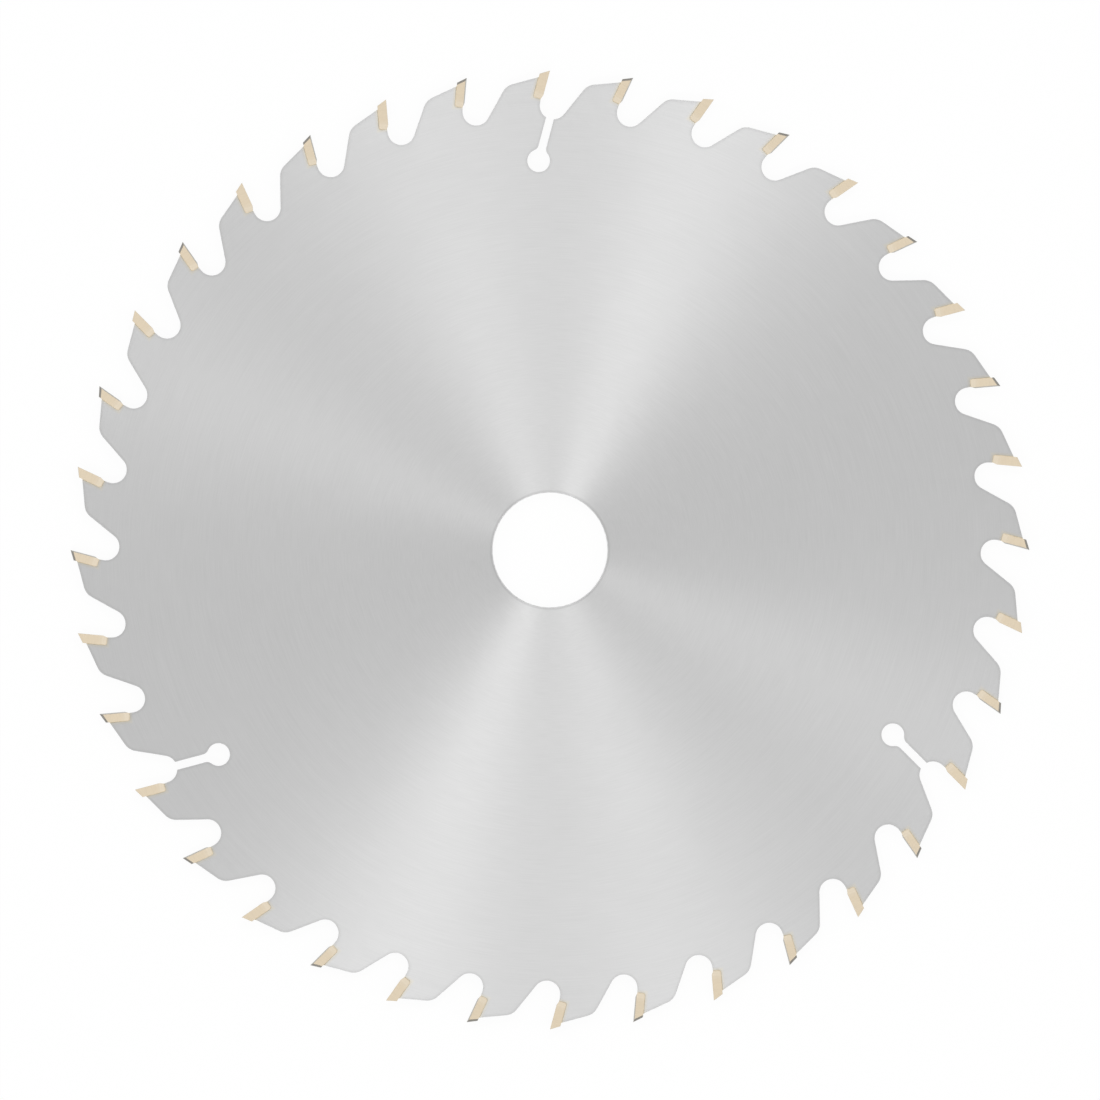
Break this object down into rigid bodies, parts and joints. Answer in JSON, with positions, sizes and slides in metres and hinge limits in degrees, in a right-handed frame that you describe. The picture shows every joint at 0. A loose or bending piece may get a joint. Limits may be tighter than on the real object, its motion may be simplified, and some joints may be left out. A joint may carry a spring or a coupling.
{
  "type": "circular saw blade",
  "caption": "Circular saw blade for wood: a flat steel plate with brazed carbide tips, alternate top bevels, expansion slots and a round centre bore.",
  "frame": {"origin": "centre of the bore, halfway through the thickness of the plate", "axes": "+Z along the blade's axis, and the blade turns clockwise seen from +Z; one expansion slot is at +Y"},
  "size_m": [0.25, 0.25, 0.0032],
  "materials": {
    "plate_steel": "satin",
    "carbide": "matte",
    "braze": "satin"
  },
  "bodies": {
    "root": {"blade_plate": "plate_steel", "tip_01": "carbide", "tip_02": "carbide", "tip_03": "carbide", "tip_04": "carbide", "tip_05": "carbide", "tip_06": "carbide", "tip_07": "carbide", "tip_08": "carbide", "tip_09": "carbide", "tip_10": "carbide", "tip_11": "carbide", "tip_12": "carbide", "tip_13": "carbide", "tip_14": "carbide", "tip_15": "carbide", "tip_16": "carbide", "tip_17": "carbide", "tip_18": "carbide", "tip_19": "carbide", "tip_20": "carbide", "tip_21": "carbide", "tip_22": "carbide", "tip_23": "carbide", "tip_24": "carbide", "tip_25": "carbide", "tip_26": "carbide", "tip_27": "carbide", "tip_28": "carbide", "tip_29": "carbide", "tip_30": "carbide", "tip_31": "carbide", "tip_32": "carbide", "tip_33": "carbide", "tip_34": "carbide", "tip_35": "carbide", "tip_36": "carbide", "braze_joints": "braze"}
  },
  "joints": []
}
